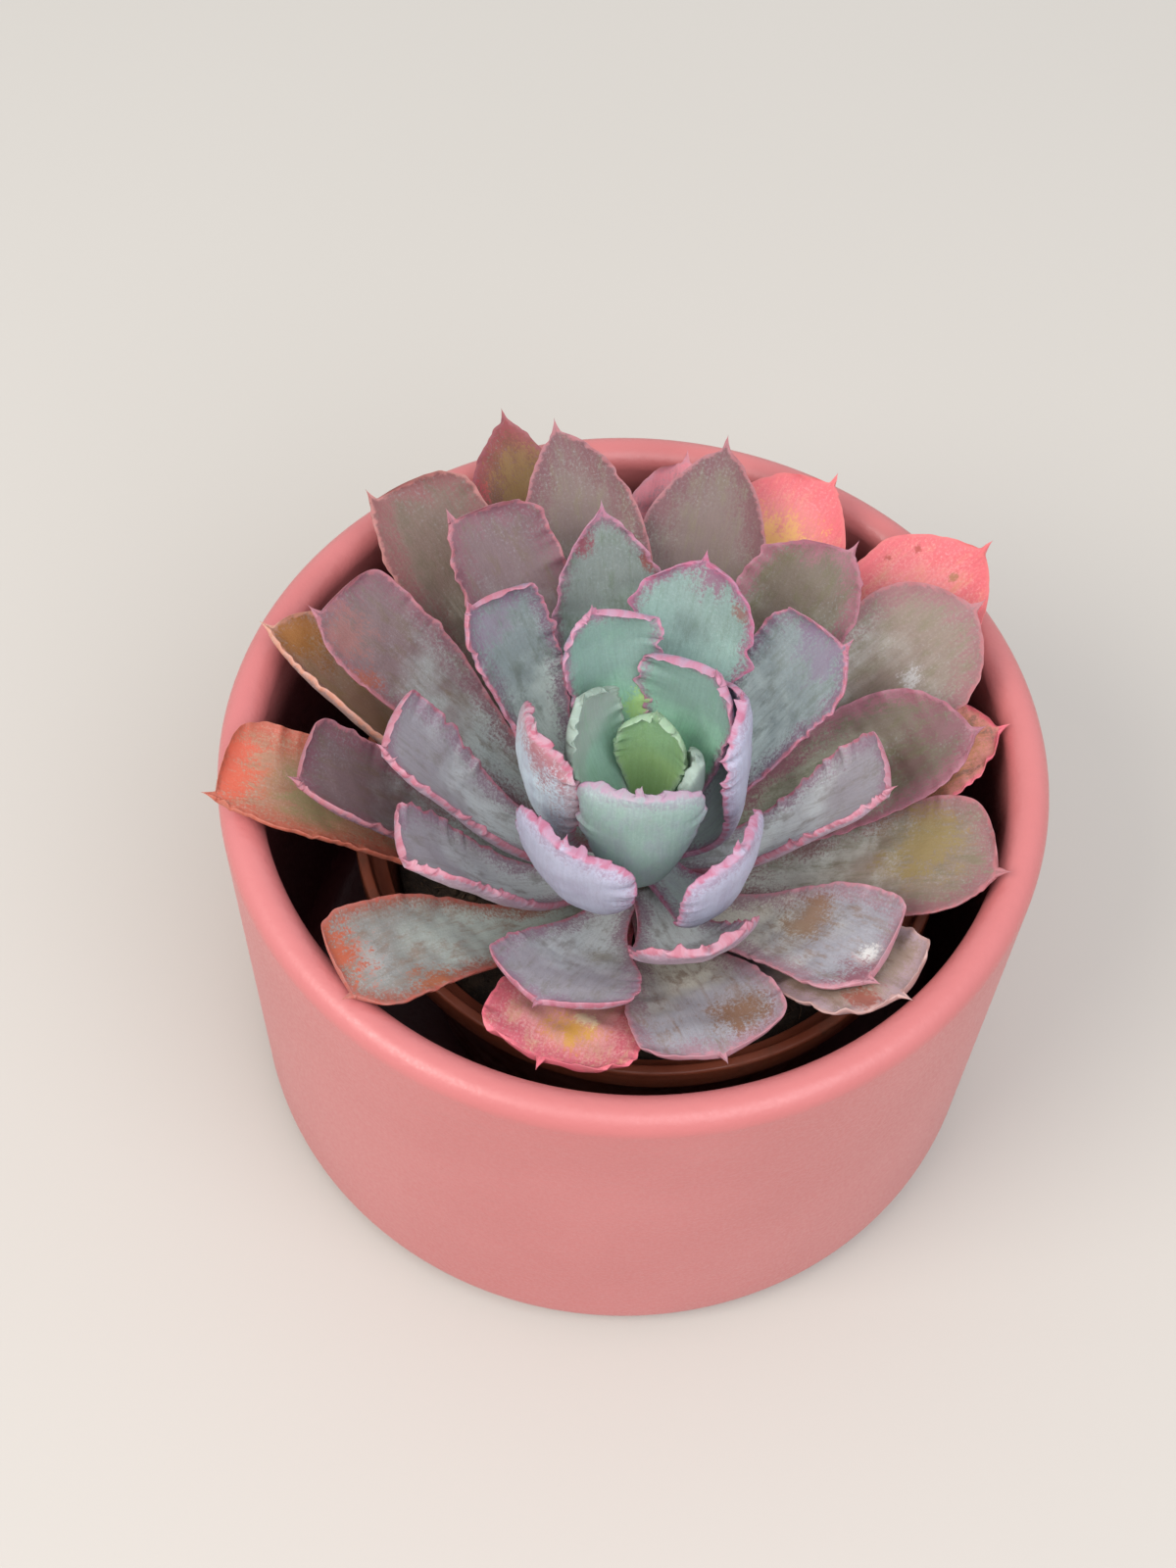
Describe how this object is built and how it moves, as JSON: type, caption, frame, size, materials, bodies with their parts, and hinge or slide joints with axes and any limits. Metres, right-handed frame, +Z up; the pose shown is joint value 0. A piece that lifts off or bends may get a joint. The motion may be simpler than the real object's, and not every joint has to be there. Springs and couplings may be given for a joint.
{
  "type": "potted echeveria",
  "caption": "Rosette of spoon-shaped succulent leaves on a short stem, rooted in soil in a thin plastic pot that stands inside a matte pink ceramic cover pot.",
  "frame": {"origin": "centre of the cover pot's flat foot, on the surface that the pot stands on", "axes": "+Z up along the cover pot's axis; -Y towards the front, where the rosette leans"},
  "size_m": [0.16, 0.16, 0.136],
  "materials": {
    "pot_ceramic": "matte",
    "nursery_plastic": "satin",
    "soil": "matte",
    "stem": "matte",
    "old_leaf": "matte",
    "outer_leaf": "matte",
    "middle_leaf": "matte",
    "inner_leaf": "matte",
    "heart_leaf": "matte"
  },
  "bodies": {
    "root": {"cover_pot": "pot_ceramic", "nursery_pot": "nursery_plastic", "soil": "soil", "stem": "stem", "old_leaf_1": "old_leaf", "old_leaf_2": "old_leaf", "old_leaf_3": "old_leaf", "old_leaf_4": "old_leaf", "old_leaf_5": "old_leaf", "old_leaf_6": "old_leaf", "old_leaf_7": "old_leaf", "old_leaf_8": "old_leaf", "outer_leaf_1": "outer_leaf", "outer_leaf_2": "outer_leaf", "outer_leaf_3": "outer_leaf", "outer_leaf_4": "outer_leaf", "outer_leaf_5": "outer_leaf", "outer_leaf_6": "outer_leaf", "outer_leaf_7": "outer_leaf", "outer_leaf_8": "outer_leaf", "outer_leaf_9": "outer_leaf", "outer_leaf_10": "outer_leaf", "outer_leaf_11": "outer_leaf", "outer_leaf_12": "outer_leaf", "outer_leaf_13": "outer_leaf", "middle_leaf_1": "middle_leaf", "middle_leaf_2": "middle_leaf", "middle_leaf_3": "middle_leaf", "middle_leaf_4": "middle_leaf", "middle_leaf_5": "middle_leaf", "middle_leaf_6": "middle_leaf", "middle_leaf_7": "middle_leaf", "middle_leaf_8": "middle_leaf", "middle_leaf_9": "middle_leaf", "middle_leaf_10": "middle_leaf", "inner_leaf_1": "inner_leaf", "inner_leaf_2": "inner_leaf", "inner_leaf_3": "inner_leaf", "inner_leaf_4": "inner_leaf", "inner_leaf_5": "inner_leaf", "inner_leaf_6": "inner_leaf", "inner_leaf_7": "inner_leaf", "heart_leaf_1": "heart_leaf", "heart_leaf_2": "heart_leaf", "heart_leaf_3": "heart_leaf"}
  },
  "joints": []
}
